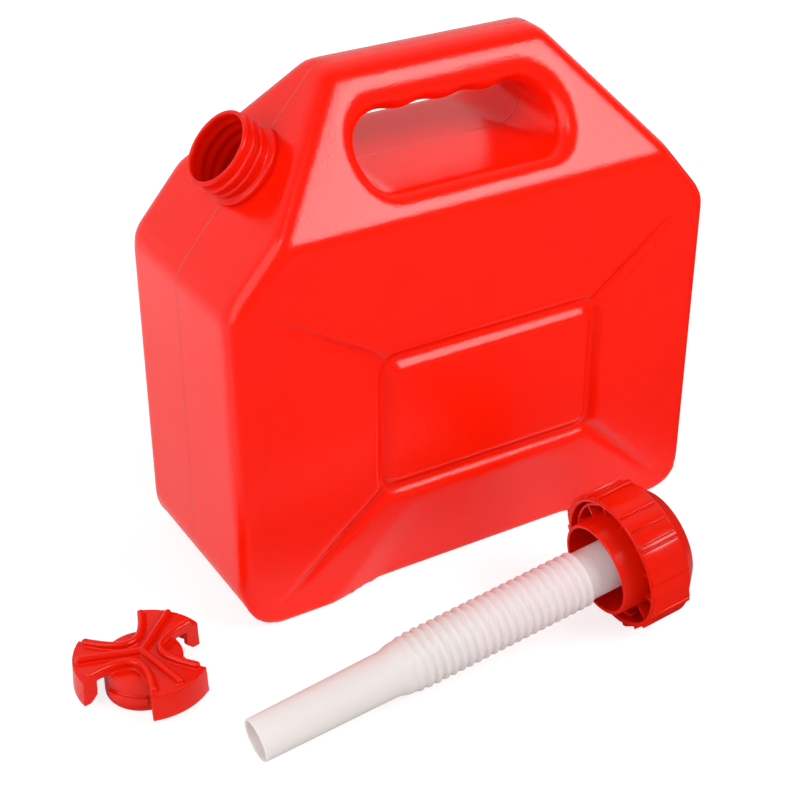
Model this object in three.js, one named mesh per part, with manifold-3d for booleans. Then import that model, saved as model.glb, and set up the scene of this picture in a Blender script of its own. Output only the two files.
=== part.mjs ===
// A five litre plastic fuel can with its screw ring, flexible pouring spout and three-armed stopper.
// Millimetres, +Z up. The origin is the middle of the can's base; the front face looks along -Y.
import * as THREE from 'three';
import { mergeVertices } from 'three/addons/utils/BufferGeometryUtils.js';
import { ConvexGeometry } from 'three/addons/geometries/ConvexGeometry.js';
import Module from 'manifold-3d';

// Can: overall form.
const canWidth = 260;
const canDepth = 109.6;
const canHeight = 254;
const wall = 2;
const sideHeight = 169; // where the upright sides turn into the end slopes
const endSlopeAngle = 49.3; // end slopes, degrees above the horizontal
const shoulderHeight = 195; // where the front and back lean in towards the handle
const faceSlopeAngle = 53; // front and back slopes, degrees above the horizontal
const uprightEdgeRadius = 9;
const endBaseRadius = 22;
const faceBaseRadius = 6;
const sideShoulderRadius = 20;
const faceShoulderRadius = 12;
const ridgeEndRadius = 12;
const ridgeRadius = 15;

// Can: pressed pattern on the front and back.
const panelShift = 2.6; // the panel's middle, towards +X
const panelHalfWidth = 59;
const panelBottom = 60;
const panelTop = 130.6;
const panelRise = 5.2; // the faces swell by this much towards the panel
const grooveHalfWidth = 4.5;
const grooveDepth = 3;
const creaseInset = 12; // creases run out this far from the corners of the face
const toeDepth = 9.8; // the lower facet leans in by this much at the base
const toeHalfWidth = 99.5; // between the two feet

// Can: handle opening.
const gripHalfLength = 52;
const gripFloor = 204.7;
const gripTop = 229.2;
const gripRimRadius = 9;
const barRadius = 11.5;
const barFlat = 5.9; // half width of the flat under the bar
const fingerPitch = 22.7;
const fingerDepth = 1.6;

// Can: neck.
const neckAlongSlope = 57; // from the foot of the end slope to the neck's axis
const neckDiameter = 38;
const neckBore = 34;
const neckLength = 19;
const neckBeadDiameter = 41.5;
const neckBeadHeight = 2.4;
const neckLip = 1.2;
const notchHalfWidth = 6; // pinch notch under each end of the base
const notchDepth = 2.4;
const notchLength = 34;

// Spout, as one flanged tube with a bellows in the middle.
const tubeRadius = 11.9;
const spoutWall = 1.3;
const flangeRadius = 19.4;
const flangeThickness = 2.2;
const tubeLength = 37;
const bellowsLength = 101;
const bellowsCrest = 13.7;
const ribCount = 23;
const ribDepth = 1.7;
const nozzleLength = 75;
const nozzleFlare = 8;
const nozzleStartRadius = 11;
const nozzleTipRadius = 10.2;

// Screw ring.
const ringRadius = 34;
const ringStart = 8.4; // the grip begins this far from the crown
const ringLength = 30;
const ringWall = 2.2;
const crownRadius = 24.4;
const plate = 2.6;
const collarRadius = 23;
const collarRoot = 24.6;
const collarWall = 2;
const collarLength = 38.4;
const webCount = 12;
const webThickness = 1.5;
const webInset = 3; // webs stop this far behind the rim of the grip
const lugRadius = 29.6;
const lugSpan = 60;
const gripGroups = 4;
const gripFlats = [[-41.6, 12.4], [-28.6, 14.6], [-13.5, 30]]; // start and span in each quarter, degrees
const gripFlatRise = 0.7;
const gripBarSpan = 6;
const gripBarRise = 2;
const gripInset = 1.2; // bars and flats stop this far behind the rim

// Ring seal.
const sealThickness = 2;
const sealRadius = 20.4;

// Stopper.
const armRadius = 32.2;
const armHalfSpan = 29;
const bayPull = 5; // smaller pulls the bays between the arms closer to the middle
const capThickness = 2.4;
const skirtDepth = 13.8;
const skirtWall = 2.4;
const skirtReturn = 7; // the ends of each skirt turn in by this much
const returnSpan = 5;
const cupRadius = 18.4;
const cupHeight = 16.8;
const cupWall = 2;
const borderRib = 2.2;
const borderRibRise = 2.6;
const spineRib = 2.6;
const spineRibRise = 2.8;
const cupLugSpan = 64;
const cupLugRise = 2;
const cupLugHeight = 3;
const cupLugBase = 6;

// Where the loose pieces lie in front of the can, and the space that parted pieces keep.
const clearance = 0.3;
const spoutTip = [-163, -130.5];
const stopperPlace = [-184.8, -61.4];
const stopperTurn = 42.5;

const degrees = THREE.MathUtils.degToRad;
const wasm = await Module();
wasm.setup();

const canRed = new THREE.MeshStandardMaterial({ color: 0xf2230b, roughness: 0.38, metalness: 0 });
const capRed = new THREE.MeshStandardMaterial({ color: 0xee1c08, roughness: 0.3, metalness: 0 });
const milky = new THREE.MeshStandardMaterial({ color: 0xefe6e4, roughness: 0.35, metalness: 0 });
const rubber = new THREE.MeshStandardMaterial({ color: 0x2b2b2d, roughness: 0.8, metalness: 0 });

function solid(geometry) {
  const bare = geometry.clone();
  bare.deleteAttribute('normal');
  bare.deleteAttribute('uv');
  const merged = mergeVertices(bare, 1e-4);
  return new wasm.Manifold(new wasm.Mesh({
    numProp: 3,
    vertProperties: new Float32Array(merged.attributes.position.array),
    triVerts: new Uint32Array(merged.index.array),
  }));
}

function geometryOf(body) {
  const mesh = body.getMesh();
  const geometry = new THREE.BufferGeometry();
  geometry.setAttribute('position', new THREE.BufferAttribute(new Float32Array(mesh.vertProperties), 3));
  geometry.setIndex(new THREE.BufferAttribute(new Uint32Array(mesh.triVerts), 1));
  geometry.computeVertexNormals();
  return geometry;
}

// A closed skin through rings of equally many points, each listed anticlockwise seen from the last ring.
function loft(rings, joined = false) {
  const count = rings[0].length;
  const positions = [];
  const index = [];
  rings.forEach((ring) => ring.forEach((point) => positions.push(...point)));
  const steps = joined ? rings.length : rings.length - 1;
  for (let i = 0; i < steps; i++) {
    const next = (i + 1) % rings.length;
    for (let j = 0; j < count; j++) {
      const k = (j + 1) % count;
      const [a, b, c, d] = [i * count + j, i * count + k, next * count + k, next * count + j];
      index.push(a, b, c, a, c, d);
    }
  }
  if (!joined) {
    [0, rings.length - 1].forEach((at) => {
      const middle = positions.length / 3;
      const centre = [0, 1, 2].map((axis) => rings[at].reduce((sum, p) => sum + p[axis], 0) / count);
      positions.push(...centre);
      for (let j = 0; j < count; j++) {
        const [a, b] = [at * count + j, at * count + (j + 1) % count];
        if (at === 0) index.push(middle, b, a);
        else index.push(middle, a, b);
      }
    });
  }
  const geometry = new THREE.BufferGeometry();
  geometry.setAttribute('position', new THREE.Float32BufferAttribute(positions, 3));
  geometry.setIndex(index);
  return geometry;
}

// Half of an outline from the middle of the base to the middle of the top, with rounded corners,
// moved inwards by inset. Each point is [half size, height].
function halfOutline(corners, radii, inset) {
  const lines = [];
  for (let i = 0; i + 1 < corners.length; i++) {
    const along = new THREE.Vector2(corners[i + 1][0] - corners[i][0], corners[i + 1][1] - corners[i][1]);
    along.normalize();
    const inward = new THREE.Vector2(-along.y, along.x);
    lines.push({ start: new THREE.Vector2(...corners[i]).addScaledVector(inward, inset), along });
  }
  const points = [];
  for (let i = 0; i + 1 < lines.length; i++) {
    const [p, q] = [lines[i], lines[i + 1]];
    const gap = q.start.clone().sub(p.start);
    const cross = p.along.x * q.along.y - p.along.y * q.along.x;
    const reach = (gap.x * q.along.y - gap.y * q.along.x) / cross;
    const corner = p.start.clone().addScaledVector(p.along, reach);
    const turn = Math.acos(p.along.dot(q.along));
    const radius = Math.max(radii[i] - inset, 0.5);
    const back = radius * Math.tan(turn / 2);
    const inward = new THREE.Vector2(-p.along.y, p.along.x);
    const centre = corner.clone().addScaledVector(p.along, -back).addScaledVector(inward, radius);
    const steps = Math.max(3, Math.round(turn / 0.26));
    for (let k = 0; k <= steps; k++) {
      const angle = (turn * k) / steps;
      const spoke = inward.clone().negate().rotateAround(new THREE.Vector2(), angle);
      points.push(centre.clone().addScaledVector(spoke, radius));
    }
  }
  return points;
}

function halfAt(outline, height) {
  for (let i = 0; i + 1 < outline.length; i++) {
    const [p, q] = [outline[i], outline[i + 1]];
    if (height <= q.y + 1e-6) {
      if (q.y - p.y < 1e-9) return p.x;
      const share = Math.min(Math.max((height - p.y) / (q.y - p.y), 0), 1);
      return p.x + share * (q.x - p.x);
    }
  }
  return outline[outline.length - 1].x;
}

const endRun = 1 / Math.tan(degrees(endSlopeAngle));
const faceRun = 1 / Math.tan(degrees(faceSlopeAngle));
const ridgeHalfLength = canWidth / 2 - (canHeight - sideHeight) * endRun;
const ridgeHalfDepth = canDepth / 2 - (canHeight - shoulderHeight) * faceRun;

// The plain can: rounded rectangles stacked up its height.
function canForm(inset) {
  const across = halfOutline(
    [[0, 0], [canWidth / 2, 0], [canWidth / 2, sideHeight], [ridgeHalfLength, canHeight], [0, canHeight]],
    [endBaseRadius, sideShoulderRadius, ridgeEndRadius], inset);
  const deep = halfOutline(
    [[0, 0], [canDepth / 2, 0], [canDepth / 2, shoulderHeight], [ridgeHalfDepth, canHeight], [0, canHeight]],
    [faceBaseRadius, faceShoulderRadius, ridgeRadius], inset);
  const heights = [...across, ...deep].map((p) => p.y).sort((a, b) => a - b);
  const levels = heights.filter((z, i) => i === 0 || z - heights[i - 1] > 0.2);
  const rings = levels.map((z) => {
    const a = halfAt(across, z);
    const b = halfAt(deep, z);
    const r = Math.min(uprightEdgeRadius - inset, a - 0.2, b - 0.2);
    const ring = [];
    [[1, 1, 0], [-1, 1, 90], [-1, -1, 180], [1, -1, 270]].forEach(([sx, sy, from]) => {
      for (let k = 0; k <= 6; k++) {
        const angle = degrees(from + k * 15);
        ring.push([sx * (a - r) + r * Math.cos(angle), sy * (b - r) + r * Math.sin(angle), z]);
      }
    });
    return ring;
  });
  return solid(loft(rings));
}

// Depth of the leaning front and back at a height, from the middle plane.
const faceDepth = (z) => Math.min(canDepth / 2, canDepth / 2 - (z - shoulderHeight) * faceRun);

// The handle opening: a stadium through the can, flared where it meets the two slopes.
function gripForm(grow) {
  const radius = (gripTop - gripFloor) / 2;
  const straight = gripHalfLength - radius;
  const outline = [];
  const push = (x, z, nx, nz) => outline.push({ x, z, nx, nz });
  for (let k = 0; k <= 8; k++) {
    const angle = degrees(-90 + k * 22.5);
    push(straight + radius * Math.cos(angle), gripFloor + radius + radius * Math.sin(angle),
      Math.cos(angle), Math.sin(angle));
  }
  for (let k = 1; k < 22; k++) push(straight - (2 * straight * k) / 22, gripTop, 0, 1);
  for (let k = 0; k <= 8; k++) {
    const angle = degrees(90 + k * 22.5);
    push(-straight + radius * Math.cos(angle), gripFloor + radius + radius * Math.sin(angle),
      Math.cos(angle), Math.sin(angle));
  }
  const rimSide = [0, 1, 3, 6, gripRimRadius].map((d) => {
    const open = gripRimRadius - Math.sqrt(Math.max(gripRimRadius ** 2 - (gripRimRadius - d) ** 2, 0));
    return { d, open };
  });
  const slopeLean = degrees(90 - faceSlopeAngle);
  const rimTop = [1 + Math.sin(slopeLean), 1, 0.52, 0.26, 0.09].map((share) => {
    const open = share * barRadius;
    const depth = barFlat + Math.sqrt(Math.max(barRadius ** 2 - (barRadius - open) ** 2, 0));
    return { d: faceDepth(gripTop + open) - depth, open };
  });
  const half = [];
  const outside = { d: -4, open: 6 };
  for (let k = -1; k < 5; k++) {
    half.push(outline.map(({ x, z, nx, nz }) => {
      const top = Math.max(nz, 0) ** 1.5;
      const at = Math.max(k, 0);
      const step = k < 0 ? outside : { d: 0, open: 0 };
      const open = rimSide[at].open * (1 - top) + rimTop[at].open * top + step.open + grow;
      const sunk = (rimSide[at].d * (1 - top) + rimTop[at].d * top) + step.d;
      const finger = top * (k > 2 ? fingerDepth * (1 - Math.cos((2 * Math.PI * x) / fingerPitch)) / 2 : 0);
      const height = z + nz * open + finger;
      return [x + nx * open, -(faceDepth(z + nz * (open - grow)) - sunk), height];
    }));
  }
  const middle = outline.map(({ x, z, nx, nz }) => {
    const finger = Math.max(nz, 0) * fingerDepth * (1 - Math.cos((2 * Math.PI * x) / fingerPitch)) / 2;
    return [x + nx * grow, 0, z + nz * grow + finger];
  });
  const rear = half.map((ring) => ring.map(([x, y, z]) => [x, -y, z])).reverse();
  return solid(loft([...half, middle, ...rear].reverse()));
}

// One face's swelling towards its panel.
function panelSwell(side, inset) {
  const y = canDepth / 2 - inset;
  const edge = uprightEdgeRadius;
  const topEdge = shoulderHeight - faceShoulderRadius / 2;
  const low = endBaseRadius / 2;
  const outer = [
    [canWidth / 2 - edge, low],
    [canWidth / 2 - edge, sideHeight - edge / 2],
    [canWidth / 2 - (topEdge - sideHeight) * endRun - edge, topEdge],
  ];
  const points = [];
  [1, -1].forEach((mirror) => {
    outer.forEach(([x, z]) => {
      points.push(new THREE.Vector3(mirror * x, side * (y - 0.2), z));
      points.push(new THREE.Vector3(mirror * x, side * (y - 6), z));
    });
    [panelBottom, panelTop].forEach((z) => {
      points.push(new THREE.Vector3(panelShift + mirror * panelHalfWidth, side * (y + panelRise), z));
    });
  });
  return solid(new ConvexGeometry(points));
}

// The groove round the panel and the four creases that run from its corners and fade out.
function faceGrooves(side, grow) {
  const y = canDepth / 2 + panelRise;
  const half = grooveHalfWidth + grow;
  const depth = grooveDepth + grow;
  const frame = (out, sunk) => {
    const [x, low, high] = [panelHalfWidth + out, panelBottom - out, panelTop + out];
    const corners = [[x, low], [x, high], [-x, high], [-x, low]];
    const ring = corners.map(([u, v]) => [panelShift + u, side * (y - sunk), v]);
    return side > 0 ? ring.reverse() : ring;
  };
  let cut = solid(loft([frame(half + 1, -1), frame(-half - 1, -1), frame(0, depth)], true));
  const topCorner = [canWidth / 2 - creaseInset, sideHeight + 4];
  const lowCorner = [toeHalfWidth, endBaseRadius * 0.7];
  [[topCorner, panelTop], [lowCorner, panelBottom]].forEach(([far, near]) => {
    [1, -1].forEach((mirror) => {
      const start = new THREE.Vector2(panelShift + mirror * panelHalfWidth, near);
      const end = new THREE.Vector2(mirror * far[0], far[1]);
      const along = end.clone().sub(start).normalize();
      const across = new THREE.Vector2(-along.y, along.x);
      start.addScaledVector(along, -1);
      const at = (base, w, sunk) => {
        const p = base.clone().addScaledVector(across, w);
        return new THREE.Vector3(p.x, side * (y - sunk), p.y);
      };
      const wide = half + 1;
      cut = cut.add(solid(new ConvexGeometry([
        at(start, wide, -1), at(start, -wide, -1), at(start, 0, depth * 0.98),
        at(end, 1.5, -1), at(end, -1.5, -1), at(end, 0, panelRise + grow * 0.9 + 0.2),
      ])));
    });
  });
  return cut;
}

// The lower facet leans in towards the base and leaves a foot at each corner.
function toeScoop(side, grow) {
  const columns = 16;
  const rows = [[panelBottom - grooveHalfWidth, 0], [-3, 1]];
  const face = rows.map(([z, fall]) => {
    const row = [];
    for (let i = 0; i <= columns; i++) {
      const u = -1 + (2 * i) / columns;
      const width = panelHalfWidth + (toeHalfWidth - panelHalfWidth) * fall;
      const dip = Math.sin((Math.PI / 2) * Math.min(1, (1 - Math.abs(u)) / 0.55));
      const y = canDepth / 2 + (1 - fall) * panelRise - fall * toeDepth * dip - grow;
      row.push([panelShift + u * width, side * y, z]);
    }
    return row;
  });
  const outer = side * (canDepth / 2 + panelRise + 12);
  const rings = face.map((row) => {
    const ring = [...row, [row[columns][0], outer, row[0][2]], [row[0][0], outer, row[0][2]]];
    return side > 0 ? ring.reverse() : ring;
  });
  return solid(loft(rings));
}

const slopeFoot = new THREE.Vector3(-canWidth / 2, 0, sideHeight);
const slopeUp = new THREE.Vector3(Math.cos(degrees(endSlopeAngle)), 0, Math.sin(degrees(endSlopeAngle)));
const neckRoot = slopeFoot.clone().addScaledVector(slopeUp, neckAlongSlope);

// A turned piece standing on the end slope, square to it.
function onSlope(profile, segments) {
  const geometry = new THREE.LatheGeometry(profile.map(([r, h]) => new THREE.Vector2(r, h)), segments);
  geometry.rotateX(Math.PI / 2);
  geometry.rotateY(-degrees(endSlopeAngle));
  geometry.translate(neckRoot.x, neckRoot.y, neckRoot.z);
  return solid(geometry);
}

function pinchNotch(side, grow) {
  const half = notchHalfWidth + grow;
  const shape = new THREE.Shape();
  shape.moveTo(-half, -1);
  shape.lineTo(half, -1);
  shape.quadraticCurveTo(0, 2 * (notchDepth + grow) + 1, -half, -1);
  const depth = notchLength;
  const geometry = new THREE.ExtrudeGeometry(shape, { depth, bevelEnabled: false, curveSegments: 8 });
  geometry.rotateX(Math.PI / 2);
  geometry.rotateZ(Math.PI / 2);
  geometry.translate(side > 0 ? canWidth / 2 - notchLength : -canWidth / 2, 0, 0);
  return solid(geometry);
}

function makeCan() {
  const neckRadius = neckDiameter / 2;
  const bead = neckBeadDiameter / 2;
  let outer = canForm(0);
  let cavity = canForm(wall);
  [1, -1].forEach((side) => {
    outer = outer.add(panelSwell(side, 0)).subtract(faceGrooves(side, 0)).subtract(toeScoop(side, 0));
    outer = outer.subtract(pinchNotch(side, 0));
    cavity = cavity.add(panelSwell(side, wall)).subtract(faceGrooves(side, wall));
    cavity = cavity.subtract(toeScoop(side, wall)).subtract(pinchNotch(side, wall));
  });
  cavity = cavity.subtract(gripForm(wall * 1.2));
  outer = outer.subtract(gripForm(0)).add(onSlope([
    [0, -6], [bead - 0.8, -6], [bead - 0.8, neckBeadHeight - 1.6], [bead, neckBeadHeight - 0.6],
    [bead, neckBeadHeight + 0.6], [neckRadius, neckBeadHeight + 1.6],
    [neckRadius, neckLength - neckLip], [neckRadius - 0.5, neckLength], [0, neckLength],
  ], 48));
  cavity = cavity.add(onSlope([
    [0, -10], [neckBore / 2, -10], [neckBore / 2, neckLength + 4], [0, neckLength + 4],
  ], 48));
  return outer.subtract(cavity);
}

// Turned pieces of the spout and ring, with the shared axis along local Z.
function turned(profile, segments) {
  const points = profile.map(([r, h]) => new THREE.Vector2(r, h));
  points.push(points[0].clone());
  const geometry = new THREE.LatheGeometry(points, segments);
  geometry.rotateX(Math.PI / 2);
  return geometry;
}

// Part of a round wall: radii from inner to outer, degrees from start to end, heights from low to high.
function sector(inner, outer, start, end, low, high) {
  const shape = new THREE.Shape();
  shape.absarc(0, 0, outer, degrees(start), degrees(end), false);
  shape.absarc(0, 0, inner, degrees(end), degrees(start), true);
  const steps = Math.max(2, Math.round((end - start) / 9));
  const geometry = new THREE.ExtrudeGeometry(shape, {
    depth: high - low, bevelEnabled: false, curveSegments: steps,
  });
  geometry.translate(0, 0, low);
  return solid(geometry);
}

function makeRing() {
  const inner = ringRadius - ringWall;
  const bore = collarRadius - collarWall;
  const hole = bellowsCrest + 2 * clearance;
  const shoulder = ringStart + plate;
  let body = solid(turned([
    [hole, 0], [crownRadius - 0.8, 0], [crownRadius, 0.8], [ringRadius - 0.6, ringStart],
    [ringRadius, ringStart + 0.6], [ringRadius, ringLength - 0.6], [ringRadius - 0.6, ringLength],
    [inner, ringLength], [inner, shoulder], [collarRoot, plate + 1], [collarRadius, collarLength],
    [bore, collarLength], [bore, plate], [hole, plate],
  ], 48));
  const webTop = ringLength - webInset;
  for (let i = 0; i < webCount; i++) {
    const web = new THREE.BoxGeometry(inner - collarRadius, webThickness, webTop - ringStart);
    web.translate((inner + collarRadius) / 2 + 0.6, 0, (webTop + ringStart) / 2);
    web.rotateZ((2 * Math.PI * i) / webCount);
    body = body.add(solid(web));
  }
  for (let i = 0; i < 3; i++) {
    const start = 120 * i + 30;
    body = body.add(sector(lugRadius - webThickness, lugRadius, start, start + lugSpan, ringStart, webTop));
  }
  const low = ringStart + 1.4;
  const high = ringLength - gripInset;
  for (let i = 0; i < gripGroups; i++) {
    const bar = (360 / gripGroups) * (i + 0.5);
    const barEdge = ringRadius + gripBarRise;
    body = body.add(sector(ringRadius - 1, barEdge, bar - gripBarSpan / 2, bar + gripBarSpan / 2, low, high));
    gripFlats.forEach(([start, span]) => {
      const from = bar + 45 + start;
      body = body.add(sector(ringRadius - 1, ringRadius + gripFlatRise, from, from + span, low, high));
    });
  }
  return body;
}

const flangeBase = plate + clearance;
const tubeBase = flangeBase + flangeThickness;
const bellowsBase = tubeBase + tubeLength;
const nozzleBase = bellowsBase + bellowsLength + clearance;
const spoutEnd = nozzleBase + nozzleLength;

function makeSpoutBase() {
  const bore = tubeRadius - spoutWall;
  return turned([
    [bore, flangeBase], [flangeRadius, flangeBase], [flangeRadius, tubeBase], [tubeRadius, tubeBase],
    [tubeRadius, bellowsBase - clearance], [bore, bellowsBase - clearance],
  ], 40);
}

// The bellows: rounded ribs outside, and a plain bore that leaves the wall between them.
function makeBellows() {
  const root = bellowsCrest - ribDepth;
  const bore = root - spoutWall;
  const pitch = bellowsLength / ribCount;
  const profile = [[bore, bellowsBase], [root, bellowsBase]];
  for (let i = 0; i < ribCount; i++) {
    const start = bellowsBase + i * pitch;
    [0.32, 0.68].forEach((share) => profile.push([bellowsCrest, start + share * pitch]));
    profile.push([root, start + pitch]);
  }
  for (let i = ribCount; i > 0; i -= 5) profile.push([bore, bellowsBase + i * pitch]);
  return turned(profile, 16);
}

function makeNozzle() {
  const root = bellowsCrest - ribDepth;
  const flareEnd = nozzleBase + nozzleFlare;
  return turned([
    [root - spoutWall, nozzleBase], [root, nozzleBase], [root, nozzleBase + nozzleFlare * 0.3],
    [nozzleStartRadius, flareEnd], [nozzleTipRadius, spoutEnd], [nozzleTipRadius - spoutWall, spoutEnd],
    [nozzleStartRadius - spoutWall, flareEnd], [root - spoutWall, nozzleBase + nozzleFlare * 0.3],
  ], 40);
}

function makeSeal() {
  const base = tubeBase + clearance;
  const inner = tubeRadius + clearance;
  return turned([
    [inner, base], [sealRadius, base], [sealRadius, base + sealThickness], [inner, base + sealThickness],
  ], 40);
}

// Stopper: three arms over a cup that stands on the floor, ribbed on top and turned down at the ends.
function stopperEdge(arm) {
  const at = (radius, angle) => {
    const turn = degrees(angle);
    return new THREE.Vector2(radius * Math.cos(turn), radius * Math.sin(turn));
  };
  const from = at(armRadius, arm + armHalfSpan);
  const to = at(armRadius, arm + 120 - armHalfSpan);
  return new THREE.CubicBezierCurve(from, at(bayPull, arm + 24), at(bayPull, arm + 96), to);
}

function makeStopper() {
  const base = cupHeight;
  const top = base + capThickness;
  const shape = new THREE.Shape();
  for (let i = 0; i < 3; i++) {
    const arm = 120 * i;
    shape.absarc(0, 0, armRadius, degrees(arm - armHalfSpan), degrees(arm + armHalfSpan), false);
    stopperEdge(arm).getPoints(12).slice(1, -1).forEach((p) => shape.lineTo(p.x, p.y));
  }
  const slab = new THREE.ExtrudeGeometry(shape, { depth: capThickness, bevelEnabled: false, curveSegments: 10 });
  slab.translate(0, 0, base);
  let body = solid(slab);
  body = body.add(solid(turned([
    [cupRadius - cupWall, 0], [cupRadius - 0.6, 0], [cupRadius, 0.6], [cupRadius, base + 0.4],
    [0.01, base + 0.4], [0.01, base - cupWall], [cupRadius - cupWall, base - cupWall],
  ], 40)));
  for (let i = 0; i < 3; i++) {
    const arm = 120 * i;
    const hem = top - skirtDepth;
    const [left, right] = [arm - armHalfSpan, arm + armHalfSpan];
    body = body.add(sector(armRadius - skirtWall, armRadius, left, right, hem, base + 0.4));
    body = body.add(sector(armRadius - skirtReturn, armRadius, left, left + returnSpan, hem, base + 0.4));
    body = body.add(sector(armRadius - skirtReturn, armRadius, right - returnSpan, right, hem, base + 0.4));
    const spine = new THREE.BoxGeometry(armRadius - 1.5, spineRib, spineRibRise + 0.4);
    spine.translate((armRadius - 1.5) / 2, 0, top + (spineRibRise - 0.4) / 2);
    spine.rotateZ(degrees(arm));
    body = body.add(solid(spine));
    const edge = stopperEdge(arm).getPoints(12);
    const inside = edge.map((p, k) => {
      const along = edge[Math.min(k + 1, 12)].clone().sub(edge[Math.max(k - 1, 0)]).normalize();
      return p.clone().add(new THREE.Vector2(along.y, -along.x).multiplyScalar(-borderRib));
    });
    const trimmed = (points) => points.slice(1, -1);
    const border = new THREE.Shape([...trimmed(edge), ...trimmed(inside).reverse()]);
    const rib = new THREE.ExtrudeGeometry(border, { depth: borderRibRise + 0.4, bevelEnabled: false });
    rib.translate(0, 0, top - 0.4);
    body = body.add(solid(rib));
    const gap = arm + 60 - cupLugSpan / 2;
    body = body.add(sector(cupRadius - 1, cupRadius + cupLugRise, gap, gap + cupLugSpan,
      cupLugBase, cupLugBase + cupLugHeight));
  }
  return body;
}

function node(name, geometry, material) {
  const mesh = new THREE.Mesh(geometry, material);
  mesh.name = name;
  return mesh;
}

const object = new THREE.Group();
object.add(node('can_body', geometryOf(makeCan()), canRed));

// The spout lies on its tip and on the grip of its ring, so its axis rises towards the ring.
const restSpan = spoutEnd - ringLength + gripInset;
const rise = Math.atan((ringRadius + gripFlatRise - nozzleTipRadius) / restSpan);
const spout = new THREE.Group();
spout.add(node('ring_cap', geometryOf(makeRing()), capRed));
spout.add(node('ring_seal', makeSeal(), rubber));
spout.add(node('spout_base', makeSpoutBase(), milky));
spout.add(node('spout_bellows', makeBellows(), milky));
spout.add(node('spout_nozzle', makeNozzle(), milky));
const lean = new THREE.Vector3(-Math.cos(rise), 0, -Math.sin(rise));
spout.quaternion.setFromUnitVectors(new THREE.Vector3(0, 0, 1), lean);
const tipCentre = new THREE.Vector3(...spoutTip, nozzleTipRadius * Math.cos(rise) + 0.02);
spout.position.copy(tipCentre).addScaledVector(lean, -spoutEnd);
object.add(spout);

const stopper = node('stopper', geometryOf(makeStopper()), capRed);
stopper.rotation.z = degrees(stopperTurn);
stopper.position.set(...stopperPlace, 0);
object.add(stopper);

export default object;
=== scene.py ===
import math

import bmesh
import bpy
from mathutils import Matrix, Vector


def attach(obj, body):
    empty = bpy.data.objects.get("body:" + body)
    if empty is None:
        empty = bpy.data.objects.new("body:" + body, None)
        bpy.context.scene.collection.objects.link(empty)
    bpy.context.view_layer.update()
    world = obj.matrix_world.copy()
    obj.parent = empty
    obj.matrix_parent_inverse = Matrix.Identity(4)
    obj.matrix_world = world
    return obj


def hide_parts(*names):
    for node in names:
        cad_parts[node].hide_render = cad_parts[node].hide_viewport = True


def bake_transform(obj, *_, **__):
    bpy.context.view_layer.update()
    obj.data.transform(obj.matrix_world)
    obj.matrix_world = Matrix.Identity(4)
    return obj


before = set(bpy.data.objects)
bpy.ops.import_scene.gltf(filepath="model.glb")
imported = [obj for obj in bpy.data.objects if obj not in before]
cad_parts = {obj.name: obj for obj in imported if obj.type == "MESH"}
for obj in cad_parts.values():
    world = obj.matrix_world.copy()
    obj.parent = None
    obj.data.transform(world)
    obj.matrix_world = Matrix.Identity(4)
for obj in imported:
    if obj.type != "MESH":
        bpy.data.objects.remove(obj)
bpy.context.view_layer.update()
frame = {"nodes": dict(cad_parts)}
mm = 0.001
print("frame loaded:", ", ".join(frame["nodes"]))


# picking and small shaping helpers

def clearPick():
    bpy.ops.object.select_all(action="DESELECT")


def focus(obj):
    clearPick()
    obj.select_set(True)
    bpy.context.view_layer.objects.active = obj


def useModifier(obj, kind, **settings):
    focus(obj)
    mod = obj.modifiers.new(kind.title(), kind)
    for key, value in settings.items():
        setattr(mod, key, value)
    bpy.ops.object.modifier_apply(modifier=mod.name)


def combine(obj, tool, operation="DIFFERENCE", solver="MANIFOLD"):  # uses the tool up
    useModifier(obj, "BOOLEAN", operation=operation, object=tool, solver=solver)
    bpy.data.objects.remove(tool, do_unlink=True)


def editAll(obj):
    focus(obj)
    bpy.ops.object.mode_set(mode="EDIT")
    bpy.ops.mesh.select_mode(type="VERT")
    bpy.ops.mesh.select_all(action="SELECT")


def leaveEdit():
    bpy.ops.object.mode_set(mode="OBJECT")


def pickEdges(obj, wanted):  # from edit mode, by a test on each edge
    bpy.ops.mesh.select_mode(type="EDGE")
    bpy.ops.mesh.select_all(action="DESELECT")
    mesh = bmesh.from_edit_mesh(obj.data)
    for edge in mesh.edges:
        edge.select_set(wanted(edge))
    bmesh.update_edit_mesh(obj.data)


def addBlock(name, low, high):
    clearPick()
    middle = [(a + b) / 2 * mm for a, b in zip(low, high)]
    bpy.ops.mesh.primitive_cube_add(size=1, location=middle)
    obj = bpy.context.object
    obj.name = name
    obj.scale = [(b - a) * mm for a, b in zip(low, high)]
    bpy.ops.object.transform_apply(location=True, rotation=True, scale=True)
    return obj


def addHull(name, points):  # corners wrapped tight
    clearPick()
    bpy.ops.mesh.primitive_circle_add(vertices=len(points), radius=mm)
    obj = bpy.context.object
    obj.name = name
    for vert, point in zip(obj.data.vertices, points):
        vert.co = [c * mm for c in point]
    editAll(obj)
    bpy.ops.mesh.convex_hull()
    bpy.ops.mesh.normals_make_consistent(inside=False)
    leaveEdit()
    return obj


def sliceOff(obj, point, normal):
    editAll(obj)
    place = [c * mm for c in point]
    bpy.ops.mesh.bisect(plane_co=place, plane_no=normal, use_fill=True, clear_outer=True)
    leaveEdit()


def softCorners(points, radius, steps=4):  # rounds the corners of a closed profile
    out = []
    count = len(points)
    for i, (x, y) in enumerate(points):
        here = Vector((x, y))
        before = Vector(points[i - 1]) - here
        after = Vector(points[(i + 1) % count]) - here
        reach = min(radius, before.length * 0.45, after.length * 0.45)
        a = here + before.normalized() * reach
        b = here + after.normalized() * reach
        for k in range(steps + 1):
            t = k / steps
            p = a * (1 - t) ** 2 + here * 2 * t * (1 - t) + b * t * t
            out.append((p.x, p.y))
    return out


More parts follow.
